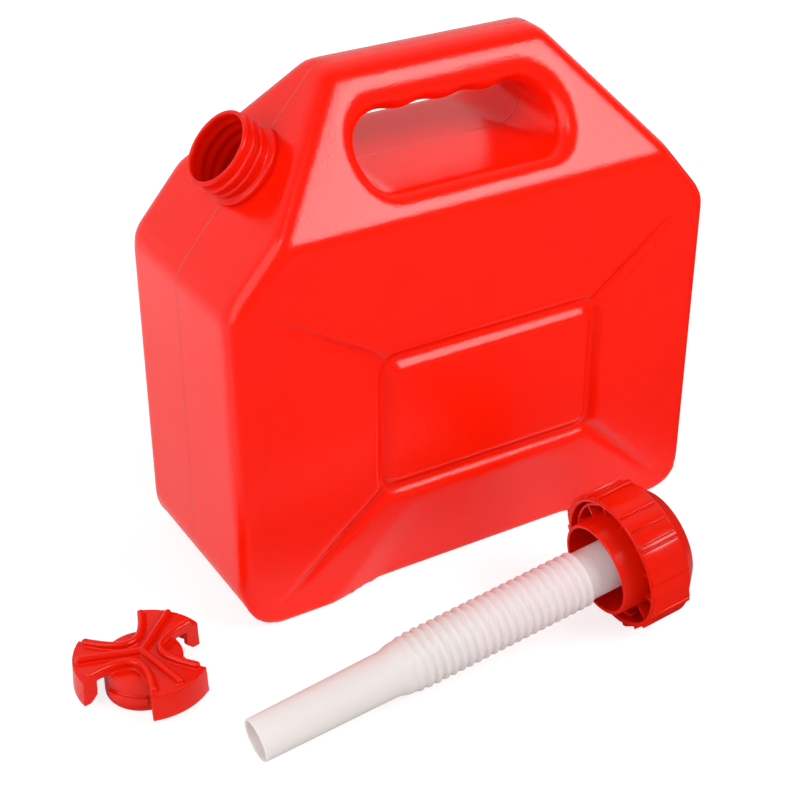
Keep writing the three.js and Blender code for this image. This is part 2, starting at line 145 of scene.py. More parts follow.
def turnProfile(name, profile, steps):  # a closed (radius, height) profile spun about Z
    clearPick()
    bpy.ops.mesh.primitive_plane_add(size=0.002)
    obj = bpy.context.object
    obj.name = name
    editAll(obj)
    bpy.ops.mesh.merge(type="CENTER")
    bpy.ops.transform.translate(value=(profile[0][0] * mm, 0, profile[0][1] * mm))
    for (r0, h0), (r1, h1) in zip(profile, profile[1:] + profile[:1]):
        move = ((r1 - r0) * mm, 0, (h1 - h0) * mm)
        bpy.ops.mesh.extrude_region_move(TRANSFORM_OT_translate={"value": move})
    bpy.ops.mesh.select_all(action="SELECT")
    bpy.ops.mesh.remove_doubles(threshold=1e-7)
    bpy.ops.mesh.spin(steps=steps, angle=2 * math.pi, center=(0, 0, 0), axis=(0, 0, 1))
    bpy.ops.mesh.select_all(action="SELECT")
    bpy.ops.mesh.remove_doubles(threshold=1e-6)
    bpy.ops.mesh.normals_make_consistent(inside=False)
    leaveEdit()
    return obj


def arcBlock(name, radii, heights, start, span, steps=0):  # a block bent round Z
    clearPick()
    bpy.ops.mesh.primitive_plane_add(size=1)
    obj = bpy.context.object
    obj.name = name
    for vert in obj.data.vertices:
        radius = radii[1] if vert.co.x > 0 else radii[0]
        height = heights[1] if vert.co.y > 0 else heights[0]
        vert.co = (radius * mm, 0, height * mm)
    obj.data.transform(Matrix.Rotation(math.radians(start + span), 4, "Z"))
    editAll(obj)
    bpy.ops.mesh.spin(steps=steps or max(1, round(span / 3)), angle=math.radians(span),
                      center=(0, 0, 0), axis=(0, 0, 1))
    bpy.ops.mesh.select_all(action="SELECT")
    bpy.ops.mesh.normals_make_consistent(inside=False)
    leaveEdit()
    return obj


def soften(obj, width, segments=3):
    useModifier(obj, "BEVEL", width=width * mm, segments=segments, limit_method="ANGLE", angle_limit=0.6)


def turned(obj, degrees):  # a copy with its own mesh, turned about Z
    twin = obj.copy()
    twin.data = obj.data.copy()
    bpy.context.collection.objects.link(twin)
    twin.data.transform(Matrix.Rotation(math.radians(degrees), 4, "Z"))
    return twin


def allRound(obj, count):  # the object and its turned copies
    return [obj] + [turned(obj, 360 / count * k) for k in range(1, count)]


def joinAll(name, parts):
    focus(parts[0])
    for part in parts:
        part.select_set(True)
    bpy.ops.object.join()
    obj = bpy.context.object
    obj.name = name
    return obj


def ribAlong(name, points, radius):  # a round bar along a line, with round ends
    curve = bpy.data.curves.new(name, "CURVE")
    curve.dimensions = "3D"
    curve.bevel_depth = radius * mm
    curve.bevel_resolution = 4
    curve.use_fill_caps = True
    line = curve.splines.new("POLY")
    line.points.add(len(points) - 1)
    for knot, point in zip(line.points, points):
        knot.co = (point[0] * mm, point[1] * mm, point[2] * mm, 1)
    obj = bpy.data.objects.new(name, curve)
    bpy.context.collection.objects.link(obj)
    focus(obj)
    bpy.ops.object.convert(target="MESH")
    parts = [bpy.context.object]
    for point in (points[0], points[-1]):
        clearPick()
        bpy.ops.mesh.primitive_uv_sphere_add(segments=16, ring_count=8, radius=radius * mm,
                                             location=[c * mm for c in point])
        bpy.ops.object.transform_apply(location=True, rotation=True, scale=True)
        parts.append(bpy.context.object)
    return joinAll(name, parts)


def settle(obj, angle, matrix=None):  # into its place, with its place in its mesh
    if matrix is not None:
        obj.data.transform(matrix)
    focus(obj)
    bpy.ops.object.shade_smooth_by_angle(angle=angle)
    return obj


def smoothStep(low, high, value):
    t = min(max((value - low) / (high - low), 0), 1)
    return t * t * (3 - 2 * t)


# shaders: a Wire is a socket that can be used in sums, a Sheet is the nodes of one material

class Wire:
    def __init__(self, sheet, socket):
        self.sheet = sheet
        self.socket = socket

    def sum(self, operation, *values):
        return self.sheet.add("ShaderNodeMath", dict(enumerate(values)), operation=operation)

    def __add__(self, other):
        return self.sum("ADD", self, other)

    def __radd__(self, other):
        return self.sum("ADD", other, self)

    def __sub__(self, other):
        return self.sum("SUBTRACT", self, other)

    def __rsub__(self, other):
        return self.sum("SUBTRACT", other, self)

    def __mul__(self, other):
        return self.sum("MULTIPLY", self, other)

    def __abs__(self):
        return self.sum("ABSOLUTE", self)

    def ease(self, low, high):  # 0 below low, 1 above high
        ends = {0: self, 1: low, 2: high}
        return self.sheet.add("ShaderNodeMapRange", ends, interpolation_type="SMOOTHSTEP")


class Sheet:
    def __init__(self, name):
        self.material = bpy.data.materials.new(name)
        self.material.use_nodes = True
        self.tree = self.material.node_tree
        self.tree.nodes.clear()

    def add(self, kind, sockets=None, out=0, **settings):
        node = self.tree.nodes.new(kind)
        for key, value in settings.items():
            setattr(node, key, value)
        for key, value in (sockets or {}).items():
            if isinstance(value, Wire):
                self.tree.links.new(value.socket, node.inputs[key])
            else:
                node.inputs[key].default_value = value
        return Wire(self, node.outputs[out]) if len(node.outputs) else node

    def place(self):
        return self.add("ShaderNodeTexCoord", out=3)

    def facing(self):
        return self.add("ShaderNodeTexCoord", out=1)

    def parts(self, vector):
        node = self.add("ShaderNodeSeparateXYZ", {0: vector}).socket.node
        return [Wire(self, s) for s in node.outputs]

    def stretched(self, scale):
        return self.add("ShaderNodeMapping", {"Vector": self.place(), "Scale": scale})

    def noise(self, scale, detail, vector=None):
        at = vector if vector is not None else self.place()
        return self.add("ShaderNodeTexNoise", {"Vector": at, "Scale": scale, "Detail": detail})

    def blendColour(self, factor, a, b):
        return self.add("ShaderNodeMix", {0: factor, 6: a, 7: b}, out=2, data_type="RGBA")

    def bump(self, height, strength, distance, below=None):
        sockets = {"Height": height, "Strength": strength, "Distance": distance}
        if below is not None:
            sockets["Normal"] = below
        return self.add("ShaderNodeBump", sockets)

    def finish(self, sockets, through=0, glow=None):  # a thin wall lets a share of the light through
        shader = self.add("ShaderNodeBsdfPrincipled", sockets)
        if through:
            beyond = self.add("ShaderNodeBsdfTranslucent", {"Color": glow})
            shader = self.add("ShaderNodeMixShader", {0: through, 1: shader, 2: beyond})
        self.add("ShaderNodeOutputMaterial", {0: shader})
        return self.material


def canPlastic(name, through=0):
    look = {"red": (0.92, 0.0092, 0.0004, 1), "deep": (0.87, 0.005, 0.0003, 1),
            "pale": (0.94, 0.17, 0.12, 1), "glow": (1, 0.03, 0.001, 1), "gloss": 0.21, "shine": 0.29,
            "clouds": 14, "grains": 900, "streaks": (520, 520, 4), "relief": 0.00028,
            "seamWidth": (0.0002, 0.0008), "seamLean": (0.45, 0.7), "seamRise": 0.0006,
            "depth": (0.006, 0.0005, 0.0002)}
    s = Sheet(name)
    y = s.parts(s.place())[1]
    ny = s.parts(s.facing())[1]
    cloud = s.noise(look["clouds"], 3)
    flow = s.noise(1, 1, s.stretched(look["streaks"]))  # streaks left by the drawn-out melt
    grain = s.noise(look["grains"], 1)
    seam = 1 - abs(y).ease(*look["seamWidth"])  # the line where the mould parts
    seam = seam * (1 - abs(ny).ease(*look["seamLean"]))
    fine = s.bump(grain + flow * 0.42, 0.3, look["relief"])
    rough = look["gloss"] + (cloud - 0.5) * 0.08 + (flow - 0.5) * 0.04
    colour = s.blendColour(cloud.ease(0.3, 0.75) * 0.5, look["red"], look["deep"])
    # the seam's raised relief is a real bump; its paler colour is a painted highlight along that raised line
    return s.finish({
        "Base Color": s.blendColour(seam * 0.25, colour, look["pale"]), "Roughness": rough,
        "Normal": s.bump(seam, 0.9, look["seamRise"], fine),
        "IOR": 1.5, "Specular IOR Level": look["shine"],
        "Subsurface Weight": 0.2, "Subsurface Radius": look["depth"], "Subsurface Scale": 1.0},
        through, look["glow"])


def capPlastic():
    look = {"red": (0.71, 0.0085, 0.0004, 1), "deep": (0.64, 0.005, 0.0003, 1),
            "gloss": 0.2, "shine": 0.25, "clouds": 60, "grains": 2200, "relief": 0.0003}
    s = Sheet("capPlastic")
    cloud = s.noise(look["clouds"], 3)
    grain = s.noise(look["grains"], 2)
    rough = look["gloss"] + (cloud - 0.5) * 0.14
    colour = s.blendColour(cloud.ease(0.35, 0.75) * 0.5, look["red"], look["deep"])
    return s.finish({
        "Base Color": colour, "Roughness": rough,
        "Normal": s.bump(grain * 0.5 + cloud, 0.12, look["relief"]),
        "IOR": 1.5, "Specular IOR Level": look["shine"]})


def milkyPlastic():
    look = {"white": (0.84, 0.8, 0.78, 1), "warm": (0.88, 0.775, 0.785, 1), "glow": (1, 0.96, 0.945, 1),
            "through": 0.3, "gloss": 0.24, "clouds": 45, "grains": 900, "relief": 0.0003,
            "warmFrom": (-0.12, 0.02), "depth": (0.004, 0.003, 0.0028)}
    s = Sheet("milkyPlastic")
    x = s.parts(s.place())[0]
    cloud = s.noise(look["clouds"], 3)
    grain = s.noise(look["grains"], 2)
    paintedRedLight = (x.ease(*look["warmFrom"]) + (cloud - 0.5) * 0.6).ease(0, 1)  # painted light: pinker towards the ring, standing in for red light cast on the tube by the ring and can
    return s.finish({
        "Base Color": s.blendColour(paintedRedLight, look["white"], look["warm"]),
        "Roughness": look["gloss"] + (cloud - 0.5) * 0.15,
        "Normal": s.bump(grain * 0.4 + cloud, 0.1, look["relief"]), "IOR": 1.5,
        "Subsurface Weight": 0.1, "Subsurface Radius": look["depth"], "Subsurface Scale": 1.0},
        look["through"], look["glow"])


def sealRubber():
    look = {"black": (0.012, 0.012, 0.012, 1), "dusty": (0.03, 0.03, 0.031, 1), "gloss": 0.7,
            "specks": 700, "relief": 0.0002}
    s = Sheet("sealRubber")
    dust = s.noise(look["specks"], 3)
    return s.finish({
        "Base Color": s.blendColour(dust.ease(0.4, 0.8), look["black"], look["dusty"]),
        "Roughness": look["gloss"] + (dust - 0.5) * 0.2,
        "Normal": s.bump(dust, 0.2, look["relief"])})


# the can: a block cut to its slopes, its edges rolled, its faces pressed, then hollowed

can = {
    "width": 260, "depth": 109.6, "height": 254, "side": 169, "endSlope": 49.3,
    "shoulder": 195, "faceSlope": 53, "wall": 2.0,
    "gripHalf": 52, "gripFloor": 204.7, "gripTop": 229.2, "gripDeep": 90, "gripNear": 4,
    "fingerPitch": 22.7, "fingerDepth": 1.6, "fingerArea": (46, 20), "fingerLevels": (220, 243),
    "fingerEnds": (38, 45),
    "panelLeft": -56.4, "panelRight": 61.6, "panelLow": 60, "panelHigh": 130.6, "rise": 5.2,
    "swell": ((119, 12), (119, 162), (99, 186)),
    "grooveHalf": 5.2, "grooveDepth": 4.6, "bank": 6.8, "bankCorner": 0.8,
    "upperCrease": (119, 170, 0.7), "lowerCrease": (117, 6, 0.62),
    "creaseFlare": 1.35, "creaseLift": 0.35, "creaseTurn": 0.7,
    "toeDepth": 9.8, "toeHalf": 100, "toeRamp": 0.5, "toeLow": -3,
    "notchHalf": 6, "notchRise": 2.4, "notchLength": 34,
    "radii": {"upright": 9, "base end": 25, "base face": 3.6, "side": 20, "face": 12,
              "hip": 8, "ridge": 15, "ridge end": 12, "rim": 9.5, "bar": 2.0},
    "above": 1, "overlap": 0.2, "grid": 1.62, "softness": 3,
}


def canBlock(name, inset):
    half, deep = can["width"] / 2 - inset, can["depth"] / 2 - inset
    obj = addBlock(name, (-half, -deep, inset), (half, deep, can["height"] - inset))
    endLean, faceLean = math.radians(can["endSlope"]), math.radians(can["faceSlope"])
    for side in (-1, 1):
        out = Vector((side * math.sin(endLean), 0, math.cos(endLean)))
        sliceOff(obj, Vector((side * can["width"] / 2, 0, can["side"])) - out * inset, out)
        out = Vector((0, side * math.sin(faceLean), math.cos(faceLean)))
        sliceOff(obj, Vector((0, side * can["depth"] / 2, can["shoulder"])) - out * inset, out)
    reach, low, high = can["gripHalf"] + inset, can["gripFloor"] - inset, can["gripTop"] + inset
    grip = addBlock("grip", (-reach, -can["gripDeep"], low), (reach, can["gripDeep"], high))
    editAll(grip)
    pickEdges(grip, lambda e: abs((e.verts[0].co - e.verts[1].co).normalized().y) > 0.9)
    bpy.ops.mesh.bevel(offset=((high - low) / 2 - 0.05) * mm, segments=12, affect="EDGES")
    leaveEdit()
    combine(obj, grip, solver="EXACT")
    editAll(obj)
    bpy.ops.mesh.dissolve_limited(angle_limit=0.002)
    leaveEdit()
    return obj


def edgeRadius(edge, inset):  # which edge of the can this is, told by its place and its two faces
    radii, near = can["radii"], can["gripNear"]
    a, b = [face.normal for face in edge.link_faces]
    mid = (edge.verts[0].co + edge.verts[1].co) / 2 / mm
    alongX, alongY = max(abs(a.x), abs(b.x)), max(abs(a.y), abs(b.y))
    nearGrip = abs(mid.x) < can["gripHalf"] + near and can["gripFloor"] - near < mid.z < can["gripTop"] + near
    if nearGrip and abs(mid.y) > 5:
        inner = a if abs(a.y) < 0.1 else b
        return radii["rim"] + radii["bar"] * max(0, -inner.z) - inset
    if mid.z < 5:
        return radii["base end" if alongX > 0.9 else "base face"] - inset
    if abs(mid.z - can["height"] + inset) < 1:
        return radii["ridge" if alongY > 0.5 else "ridge end"] - inset
    if max(a.z, b.z) < 0.1 or (alongX > 0.5 and alongY > 0.9):
        return radii["upright"] - inset
    if alongX > 0.9:
        return radii["side"] - inset
    return radii["face" if alongX < 0.5 else "hip"] - inset


def rollEdges(obj, inset, segments):
    mesh = bmesh.new()
    mesh.from_mesh(obj.data)
    weights = mesh.edges.layers.float.new("bevel_weight_edge")
    widths = {}
    for edge in mesh.edges:
        turn = edge.calc_face_angle(0)
        if turn > 0.3:
            widths[edge] = max(edgeRadius(edge, inset), 1) * math.tan(turn / 2)
    widest = max(widths.values())
    for edge, width in widths.items():
        edge[weights] = width / widest
    mesh.to_mesh(obj.data)
    mesh.free()
    useModifier(obj, "BEVEL", width=widest * mm, segments=segments, limit_method="WEIGHT",
                offset_type="OFFSET", use_clamp_overlap=False)


def faceSwell(side):  # the face's four flats, rising to its panel
    y = can["depth"] / 2
    edges = [(x * mirror, z) for x, z in can["swell"] for mirror in (-1, 1)]
    corners = [(x, z) for x in (can["panelLeft"], can["panelRight"])
               for z in (can["panelLow"], can["panelHigh"])]
    points = [(x, side * (y - can["overlap"]), z) for x, z in edges]
    return addHull("swell", points + [(x, side * (y + can["rise"]), z) for x, z in corners])


def panelGroove(side):  # a frame with sloping banks, cut from just above the face
    above, y = can["above"], can["depth"] / 2 + can["rise"]
    half, sink = can["grooveHalf"] + above, side * (can["grooveDepth"] + above) * mm
    centre = ((can["panelLeft"] + can["panelRight"]) / 2 * mm, side * (y + above) * mm,
              (can["panelLow"] + can["panelHigh"]) / 2 * mm)
    clearPick()
    bpy.ops.mesh.primitive_plane_add(size=1, location=centre, rotation=(math.pi / 2, 0, 0))
    obj = bpy.context.object
    obj.scale = ((can["panelRight"] - can["panelLeft"] + 2 * half) * mm,
                 (can["panelHigh"] - can["panelLow"] + 2 * half) * mm, 1)
    bpy.ops.object.transform_apply(location=True, rotation=True, scale=True)
    editAll(obj)
    corner = half + can["bank"] + can["bankCorner"]
    bpy.ops.mesh.bevel(offset=corner * mm, segments=6, affect="VERTICES")
    bpy.ops.mesh.select_all(action="SELECT")
    bpy.ops.mesh.inset(thickness=half * mm, depth=0)
    bpy.ops.transform.translate(value=(0, -sink, 0))
    bpy.ops.mesh.inset(thickness=can["bank"] * mm, depth=0)
    bpy.ops.transform.translate(value=(0, sink, 0))
    bpy.ops.mesh.delete(type="FACE")
    bpy.ops.mesh.select_mode(type="EDGE")
    bpy.ops.mesh.select_all(action="SELECT")
    bpy.ops.mesh.region_to_loop()
    bpy.ops.mesh.bridge_edge_loops()
    bpy.ops.mesh.select_all(action="SELECT")
    bpy.ops.mesh.normals_make_consistent(inside=False)
    leaveEdit()
    return obj


def crease(side, start, end, hold):  # as deep as the panel's groove at its start, running out at its end
    top, sunk = can["depth"] / 2 + can["rise"], can["grooveDepth"]
    wide, lift = can["grooveHalf"] * can["creaseFlare"], sunk * can["creaseLift"]
    a, b = Vector(start), Vector(end)
    along = (b - a).normalized()
    across = Vector((-along.y, along.x))
    points = []
    for share, size in ((-0.02, 1), (can["creaseTurn"], hold)):
        base, level = a.lerp(b, share), top - can["rise"] * share
        for shift, depth in ((wide, -lift), (-wide, -lift), (0, sunk)):
            p = base + across * shift * size
            points.append((p.x, side * (level - depth * size), p.y))
    for depth in (-can["above"], can["overlap"]):
        points.append((b.x, side * (can["depth"] / 2 - depth), b.y))
    return addHull("crease", points)


def toeScoop(side, grow=0):  # below the panel the face leans in between its two feet
    top, low = can["panelLow"] - can["grooveHalf"] + can["above"], can["toeLow"]
    middle = (can["panelLeft"] + can["panelRight"]) / 2
    half = (can["panelRight"] - can["panelLeft"]) / 2
    face = can["depth"] / 2 + can["overlap"]
    clearPick()
    bpy.ops.mesh.primitive_grid_add(x_subdivisions=40, y_subdivisions=12, size=2)
    obj = bpy.context.object
    for vert in obj.data.vertices:
        u, fall = vert.co.x, (1 - vert.co.y) / 2
        width = half + (can["toeHalf"] - half) * fall
        dip = smoothStep(0, can["toeRamp"], 1 - abs(u))
        depth = face + (1 - fall) * can["rise"] - fall * can["toeDepth"] * dip - grow
        vert.co = ((middle + u * width) * mm, side * depth * mm, (top + (low - top) * fall) * mm)
    editAll(obj)
    outward = (0, side * 30 * mm, 0)  # well past the face
    bpy.ops.mesh.extrude_region_move(TRANSFORM_OT_translate={"value": outward})
    bpy.ops.mesh.select_all(action="SELECT")
    bpy.ops.mesh.normals_make_consistent(inside=False)
    leaveEdit()
    return obj


def pinchNotch(end):  # left under each end where the mould closed on the tube
    half, rise = can["notchHalf"], can["notchRise"]
    out, back = end * (can["width"] / 2 + 2), end * (can["width"] / 2 - can["notchLength"])
    points = [(x, y, -1) for x in (out, back) for y in (-half, half)]
    return addHull("notch", points + [(out, 0, rise), (back, 0, rise)])


def fingerGrips(obj):  # hollows for the fingers under the bar
    reachX, reachY = can["fingerArea"]
    low, high = can["fingerLevels"]
    near = [v for v in obj.data.vertices
            if abs(v.co.x) < reachX * mm and abs(v.co.y) < reachY * mm and low * mm < v.co.z < high * mm]
    normals = [v.normal.copy() for v in near]
    for vert, normal in zip(near, normals):
        x = vert.co.x / mm
        hollow = (1 - math.cos(2 * math.pi * x / can["fingerPitch"])) / 2
        share = smoothStep(0.05, 0.6, -normal.z) * (1 - smoothStep(*can["fingerEnds"], abs(x)))
        vert.co -= normal * can["fingerDepth"] * hollow * share * mm


def canBody():
    obj = canBlock("canBody", 0)
    rollEdges(obj, 0, 8)
    for side in (-1, 1):
        combine(obj, faceSwell(side), "UNION")
    corners = [(mirror, x, z, end) for mirror, x in ((-1, can["panelLeft"]), (1, can["panelRight"]))
               for z, end in ((can["panelHigh"], can["upperCrease"]), (can["panelLow"], can["lowerCrease"]))]
    for side in (-1, 1):
        combine(obj, toeScoop(side))
        combine(obj, panelGroove(side))
        for mirror, x, z, end in corners:
            combine(obj, crease(side, (x, z), (mirror * end[0], end[1]), end[2]))
        combine(obj, pinchNotch(side))
    print("can pressed:", len(obj.data.polygons), "faces")
    useModifier(obj, "REMESH", mode="VOXEL", voxel_size=can["grid"] * mm)
    useModifier(obj, "SMOOTH", factor=0.5, iterations=can["softness"])
    fingerGrips(obj)
    hollow = canBlock("hollow", can["wall"])
    rollEdges(hollow, can["wall"], 4)
    for side in (-1, 1):
        combine(hollow, toeScoop(side, can["wall"]))
    combine(obj, hollow)
    combine(obj, boreTool())
    print("can skinned:", len(obj.data.polygons), "faces")
    return settle(obj, 0.7)


# the neck: a turned tube on the left slope, with its thread

neck = {"along": 57.4, "radius": 18.1, "bore": 16.3, "length": 18.6, "bead": 20.3, "beadHeight": 2.4,
        "threadStart": 5.2, "pitch": 4.6, "turns": 2.2, "threadHeight": 1.3, "turnSteps": 72,
        "fade": 16, "sunk": 0.5, "wave": 0.55, "waves": 3.6, "waveSteps": 32, "cut": 40}


def neckPlace():
    lean, along = math.radians(can["endSlope"]), neck["along"]
    root = Vector((along * math.cos(lean) - can["width"] / 2, 0, can["side"] + along * math.sin(lean)))
    return Matrix.Translation(root * mm) @ Matrix.Rotation(-lean, 4, "Y")


def boreTool():
    clearPick()
    bpy.ops.mesh.primitive_cylinder_add(vertices=96, radius=(neck["bore"] + 1) * mm, depth=neck["cut"] * mm)
    obj = bpy.context.object
    obj.data.transform(neckPlace())
    return obj


def neckTube():
    r, b, top, h = neck["radius"], neck["bore"], neck["length"], neck["beadHeight"]
    profile = softCorners([
        (b, -3), (r + 1.6, -3), (r + 1.6, h - 1.6), (neck["bead"], h - 0.6), (neck["bead"], h + 0.6),
        (r, h + 1.7), (r, top - 2.2), (r + 0.35, top - 1.4), (r + 0.1, top), (b + 0.2, top),
        (b, top - 0.8)], 0.6)
    for k in range(neck["waveSteps"] + 1):  # the thread shows inside as soft waves
        t = k / neck["waveSteps"]
        lift = math.sin(math.pi * t) ** 0.5 * (1 - math.cos(2 * math.pi * t * neck["waves"])) / 2
        profile.append((b + neck["wave"] * lift, top - 1.2 - (top + 1.4) * t))
    return settle(turnProfile("neckTube", profile, 128), 0.9, neckPlace())


def neckThread():
    r, turns, steps = neck["radius"], neck["turns"], int(neck["turns"] * neck["turnSteps"])
    root, crest = r - 0.4, r + neck["threadHeight"]
    section = softCorners([(root, -1.5), (crest, -0.5), (crest, 0.5), (root, 1.5)], 0.7, 3)
    clearPick()
    bpy.ops.mesh.primitive_circle_add(vertices=len(section), radius=mm)
    obj = bpy.context.object
    obj.name = "neckThread"
    for vert, (x, z) in zip(obj.data.vertices, section):
        vert.co = (x * mm, 0, z * mm)
    useModifier(obj, "SCREW", angle=turns * 2 * math.pi, screw_offset=turns * neck["pitch"] * mm,
                steps=steps, render_steps=steps, axis="Z", use_normal_calculate=True)
    rows = len(obj.data.vertices) // len(section)
    base = (r - neck["sunk"]) * mm
    for i, vert in enumerate(obj.data.vertices):  # both ends sink into the wall
        row = i // len(section)
        fade = smoothStep(0, neck["fade"], row) * smoothStep(0, neck["fade"], rows - 1 - row)
        out = Vector((vert.co.x, vert.co.y, 0))
        flat = out.normalized() * (base + max(0, out.length - base) * fade)
        vert.co = (flat.x, flat.y, vert.co.z + neck["threadStart"] * mm)
    editAll(obj)
    bpy.ops.mesh.select_mode(type="EDGE")
    bpy.ops.mesh.select_all(action="DESELECT")
    bpy.ops.mesh.select_non_manifold()
    bpy.ops.mesh.edge_face_add()
    bpy.ops.mesh.select_all(action="SELECT")
    bpy.ops.mesh.normals_make_consistent(inside=False)
    leaveEdit()
    return settle(obj, 1.0, neckPlace())


# the spout, turned along the axis of its ring; heights are measured from the ring's crown

spout = {"crown": (53.599, -130.5, 38.125), "rise": 7.363, "wall": 1.3, "overlap": 0.2,
         "flange": 19.4, "flangeLow": 2.9, "flangeHigh": 5.1, "tube": 11.9, "sleeve": 0.05,
         "bellowsLow": 42.1, "bellowsHigh": 143.1, "crest": 13.65, "ribs": 22, "ribLow": 47.2,
         "ribDepth": 1.2, "ribSteps": 8, "lastRib": 0.6,
         "flare": 8, "nozzle": 10.95, "nozzleRoot": 1.5, "tip": 10.15, "end": 218.4}


def spoutPlace():
    lean = math.radians(spout["rise"])
    down = Vector((-math.cos(lean), 0, -math.sin(lean)))
    turn = Vector((0, 0, 1)).rotation_difference(down).to_matrix().to_4x4()
    return Matrix.Translation(Vector(spout["crown"]) * mm) @ turn


def spoutPoint(height):
    return tuple(spoutPlace() @ Vector((0, 0, height * mm)))


def spoutBase():
    tube, flange, high = spout["tube"], spout["flange"], spout["bellowsLow"] + spout["overlap"]
    bore = tube - spout["wall"]
    profile = softCorners([
        (bore, spout["flangeLow"]), (flange, spout["flangeLow"]), (flange, spout["flangeHigh"]),
        (tube, spout["flangeHigh"]), (tube, high), (bore, high)], 0.5)
    return settle(turnProfile("spoutBase", profile, 96), 0.9, spoutPlace())


def spoutBellows():
    low, ribs, steps = spout["ribLow"], spout["ribs"], spout["ribSteps"]
    root, last = spout["crest"] - spout["ribDepth"], spout["lastRib"]
    pitch, sleeve = (spout["bellowsHigh"] - low) / ribs, spout["tube"] + spout["sleeve"]
    outer = [(sleeve, spout["bellowsLow"]), (sleeve, low - 1)]  # plain up to the first rib
    for i in range(ribs * steps + 1):
        wave = (1 - math.cos(2 * math.pi * i / steps)) / 2
        fade = last + (1 - last) * smoothStep(0, 2, ribs - i / steps)  # the last rib is lower
        outer.append((root + spout["ribDepth"] * fade * wave ** 0.85, low + pitch * i / steps))
    inner = [(radius - spout["wall"], height) for radius, height in reversed(outer)]
    return settle(turnProfile("spoutBellows", outer + inner, 64), 1.2, spoutPlace())


def spoutNozzle():
    low, end, wall, flare = spout["bellowsHigh"], spout["end"], spout["wall"], spout["flare"]
    root, start = spout["crest"] - spout["ribDepth"], low - spout["nozzleRoot"]  # starts in the bellows
    profile = softCorners([
        (root - wall, start), (root - 0.4, start), (root, low + spout["overlap"]),
        (root - 0.2, low + flare * 0.5), (spout["nozzle"], low + flare), (spout["tip"], end),
        (spout["tip"] - wall, end), (spout["nozzle"] - wall, low + flare)], 1.2)
    return settle(turnProfile("spoutNozzle", profile, 96), 0.9, spoutPlace())


seal = {"inner": 12.2, "outer": 20.4, "thick": 2, "gap": 0.3}


def ringSeal():
    inner, outer, low = seal["inner"], seal["outer"], spout["flangeHigh"] + seal["gap"]
    high = low + seal["thick"]
    profile = softCorners([(inner, low), (outer, low), (outer, high), (inner, high)], 0.6)
    return settle(turnProfile("ringSeal", profile, 96), 0.9, spoutPlace())


# the screw ring: crown, grip and collar turned in one, with grips, webs and lugs

ring = {"hole": 14.2, "crown": 24.4, "grip": 32.9, "gripLow": 8.4, "gripHigh": 30, "wall": 2.0, "plate": 2.6,
        "collar": 23, "collarRoot": 24.6, "collarHigh": 38.4, "collarWall": 1.9,
        "panel": 34.2, "panelStart": -16.5, "panelSpan": 27.6, "bar": 35.5, "barStart": -48.2, "barSpan": 4.4,
        "flat": 33.2, "flats": ((-30.6, 13.4, 1.45), (-43.4, 12.2, 1.8)), "repeats": 6,
        "webs": 12, "web": 1.5, "webHigh": 27, "webStart": 15,
        "lugs": 3, "lug": 29.6, "lugWall": 1.5, "lugHigh": 27.5, "lugStart": 22, "lugSpan": 62}


def ringCap():
    low, high, inner = ring["gripLow"], ring["gripHigh"], ring["grip"] - ring["wall"]
    bore = ring["collar"] - ring["collarWall"]
    shell = turnProfile("ringShell", softCorners([
        (ring["hole"], 0), (ring["crown"], 0), (ring["crown"] + 0.8, 0.8), (ring["grip"] - 0.4, low),
        (ring["grip"], low + 0.6), (ring["grip"], high), (inner, high), (inner, low + 2.6),
        (ring["collarRoot"], ring["plate"] + 1), (ring["collar"], ring["collarHigh"]),
        (bore, ring["collarHigh"]), (bore, ring["plate"]), (ring["hole"], ring["plate"])], 0.6), 120)
    root, heights = inner + 1, (low + 1.2, high - 0.3)
    panel = arcBlock("panel", (root, ring["panel"]), heights, ring["panelStart"], ring["panelSpan"])
    soften(panel, 0.5)
    bar = arcBlock("bar", (root, ring["bar"]), heights, ring["barStart"], ring["barSpan"])
    soften(bar, 0.7)
    grips = [panel, bar]
    for start, span, step in ring["flats"]:
        flat = arcBlock("flat", (root, ring["flat"]), heights, start, span, 1)
        for vert in flat.data.vertices:  # each flat stands proud at one edge
            out = Vector((vert.co.x, vert.co.y))
            turn = math.degrees(math.atan2(out.y, out.x))
            if out.length > (ring["flat"] - 0.5) * mm and turn < start + 1:
                vert.co.x, vert.co.y = out * (1 + step / ring["flat"])
        soften(flat, 0.25, 2)
        grips.append(flat)
    half = ring["web"] / 2
    web = addBlock("web", (ring["collar"] - 0.3, -half, low), (inner + 0.5, half, ring["webHigh"]))
    soften(web, 0.3, 2)
    web.data.transform(Matrix.Rotation(math.radians(ring["webStart"]), 4, "Z"))
    lug = arcBlock("lug", (ring["lug"] - ring["lugWall"], ring["lug"]), (low, ring["lugHigh"]),
                   ring["lugStart"], ring["lugSpan"])
    soften(lug, 0.3, 2)
    parts = [shell] + allRound(joinAll("grips", grips), ring["repeats"])
    parts += allRound(web, ring["webs"]) + allRound(lug, ring["lugs"])
    return settle(joinAll("ringCap", parts), 0.7, spoutPlace())


# the stopper: a three-armed top with skirts, ribs and a cup below

plug = {"place": (-184.8, -61.4), "turn": 42.5, "arms": (0, 120, 240), "arm": 31.5, "half": 29,
        "pull": 5, "pullTurn": 24, "low": 16.4, "high": 18.8, "hem": 5.5, "skirt": 2.4, "flare": 0.6,
        "return": 7, "returnSpan": 5.5, "returnCut": 3.2, "cup": 18.3, "cupWall": 2,
        "lugOut": 1.7, "lugHeights": (4.6, 8.6), "lugStart": 30, "lugSpan": 60,
        "ribRadius": 1.75, "ribRise": 1.2, "spine": (28.6, 28.6, 28), "grid": 0.4, "softness": 4, "keep": 0.5}


def around(radius, degrees):
    return Vector((radius * math.cos(math.radians(degrees)), radius * math.sin(math.radians(degrees))))


